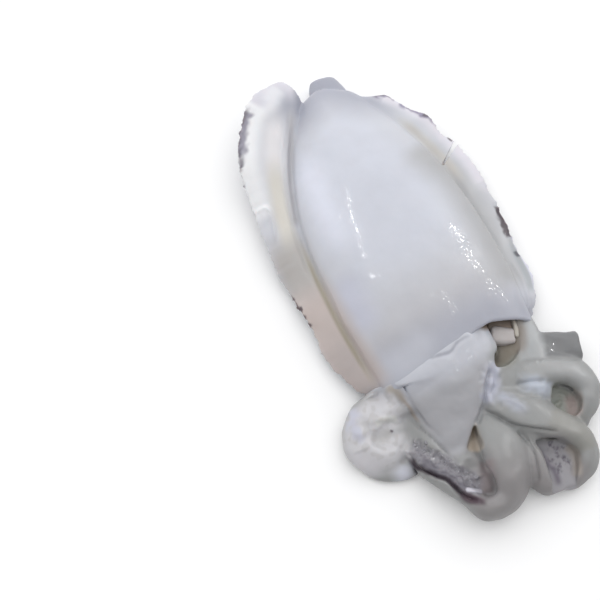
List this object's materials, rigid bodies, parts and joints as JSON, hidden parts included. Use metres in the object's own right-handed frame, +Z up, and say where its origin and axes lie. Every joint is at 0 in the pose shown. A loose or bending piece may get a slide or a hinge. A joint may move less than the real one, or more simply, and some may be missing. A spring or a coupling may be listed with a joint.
{
  "type": "whole raw cuttlefish",
  "caption": "Whole raw cuttlefish, skinned, lying on its back: a smooth domed mantle with a fin down each side, and the funnel, head and curled arms at its open front end.",
  "frame": {"origin": "under the middle of the bounding box, on the flat underside that the animal rests on", "axes": "+Y from the arms to the tail, +Z up, with the belly side up, +X across the animal"},
  "size_m": [0.1336, 0.2594, 0.0371],
  "materials": {
    "raw_flesh": "wet, glossy, slightly translucent raw flesh"
  },
  "bodies": {
    "root": {"cuttlefish": "raw_flesh"}
  },
  "joints": []
}
